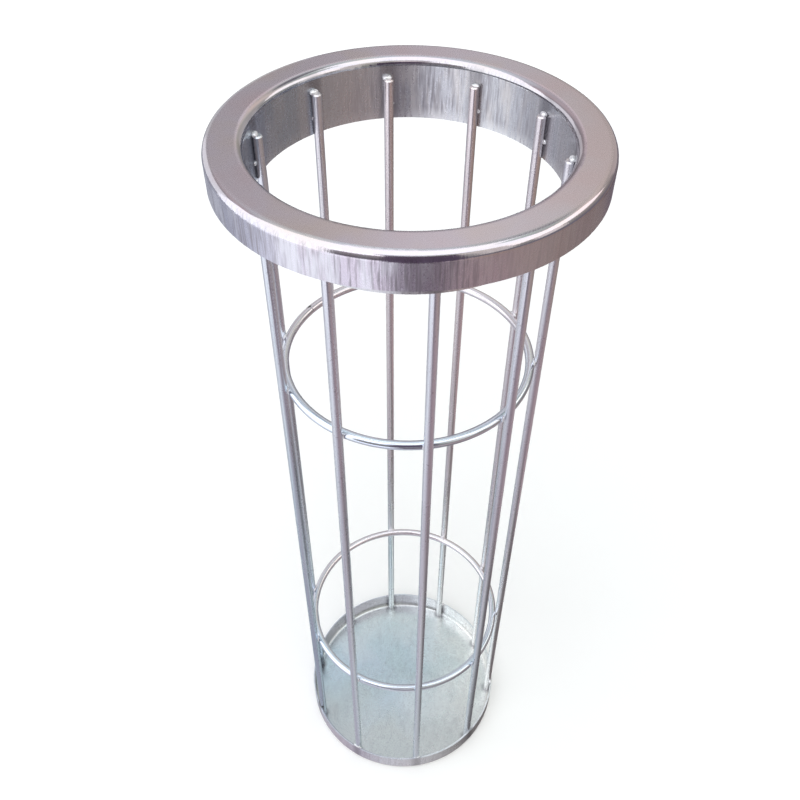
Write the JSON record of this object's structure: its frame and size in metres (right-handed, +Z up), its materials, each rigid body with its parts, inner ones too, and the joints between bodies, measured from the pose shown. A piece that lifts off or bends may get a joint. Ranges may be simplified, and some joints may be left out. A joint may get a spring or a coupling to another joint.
{
  "type": "filter cage",
  "caption": "Upright zinc-plated wire cage that holds a dust filter bag open: long wires and hoops between a hooked top collar and a shallow bottom pan.",
  "frame": {"origin": "centre of the pan's underside, on the cage's axis", "axes": "+Z up the cage's axis to the brim, -Y towards the front"},
  "size_m": [0.1484, 0.1484, 0.415],
  "materials": {
    "collar_zinc": "zinc plated, satin, with upright draw streaks",
    "hoop_zinc": "zinc plated, bright",
    "wire_zinc": "zinc plated, bright",
    "pan_zinc": "zinc plated, satin"
  },
  "bodies": {
    "root": {"top_collar": "collar_zinc", "upper_hoop": "hoop_zinc", "lower_hoop": "hoop_zinc", "bottom_pan": "pan_zinc", "wire_01": "wire_zinc", "wire_02": "wire_zinc", "wire_03": "wire_zinc", "wire_04": "wire_zinc", "wire_05": "wire_zinc", "wire_06": "wire_zinc", "wire_07": "wire_zinc", "wire_08": "wire_zinc", "wire_09": "wire_zinc", "wire_10": "wire_zinc"}
  },
  "joints": []
}
